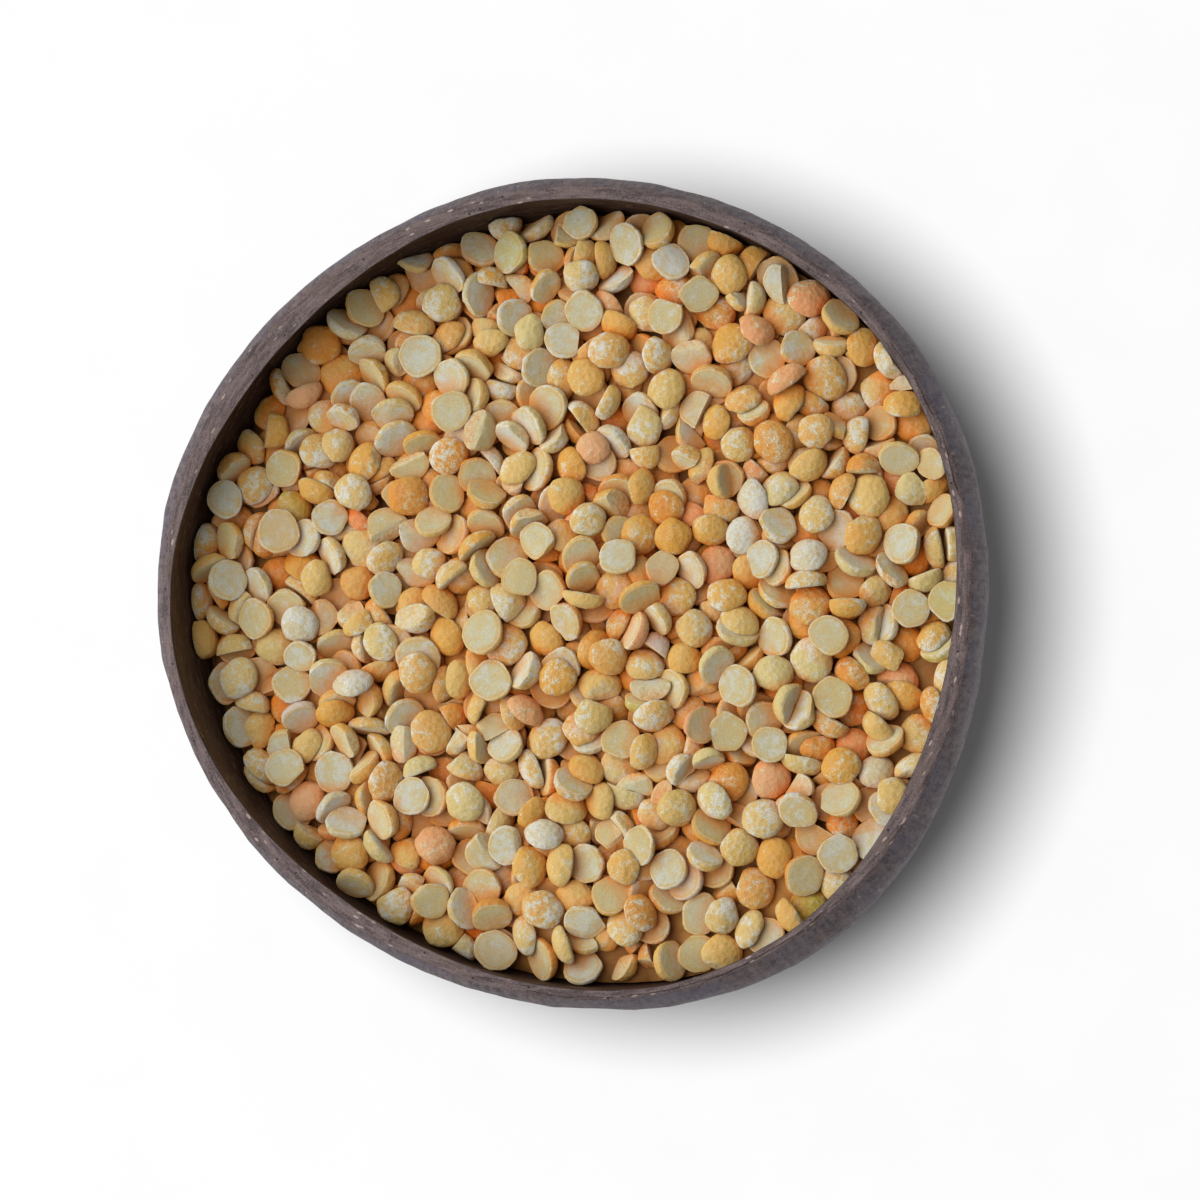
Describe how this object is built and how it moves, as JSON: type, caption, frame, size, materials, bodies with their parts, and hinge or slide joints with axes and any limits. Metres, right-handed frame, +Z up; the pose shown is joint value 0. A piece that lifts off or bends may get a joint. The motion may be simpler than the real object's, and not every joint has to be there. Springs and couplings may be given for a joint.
{
  "type": "dish of yellow split peas",
  "caption": "Round bowl made from half a coconut shell, with a sawn flat rim and a small flat foot, filled to a little below its rim with a loose heap of yellow split peas.",
  "frame": {"origin": "on the surface that the bowl stands on, under the middle of the bowl's box", "axes": "+Z up, out of the bowl's mouth; +X to the right and +Y away as the picture shows the bowl from above"},
  "size_m": [0.1446, 0.1432, 0.064],
  "materials": {
    "coconut_shell": "dry sawn and shaved shell, matte, purplish brown with pale specks and fine fibres",
    "split_peas": "dry, matte to slightly waxy, golden yellow with pale cut faces and powdery patches"
  },
  "bodies": {
    "root": {"bowl": "coconut_shell", "peas": "split_peas"}
  },
  "joints": []
}
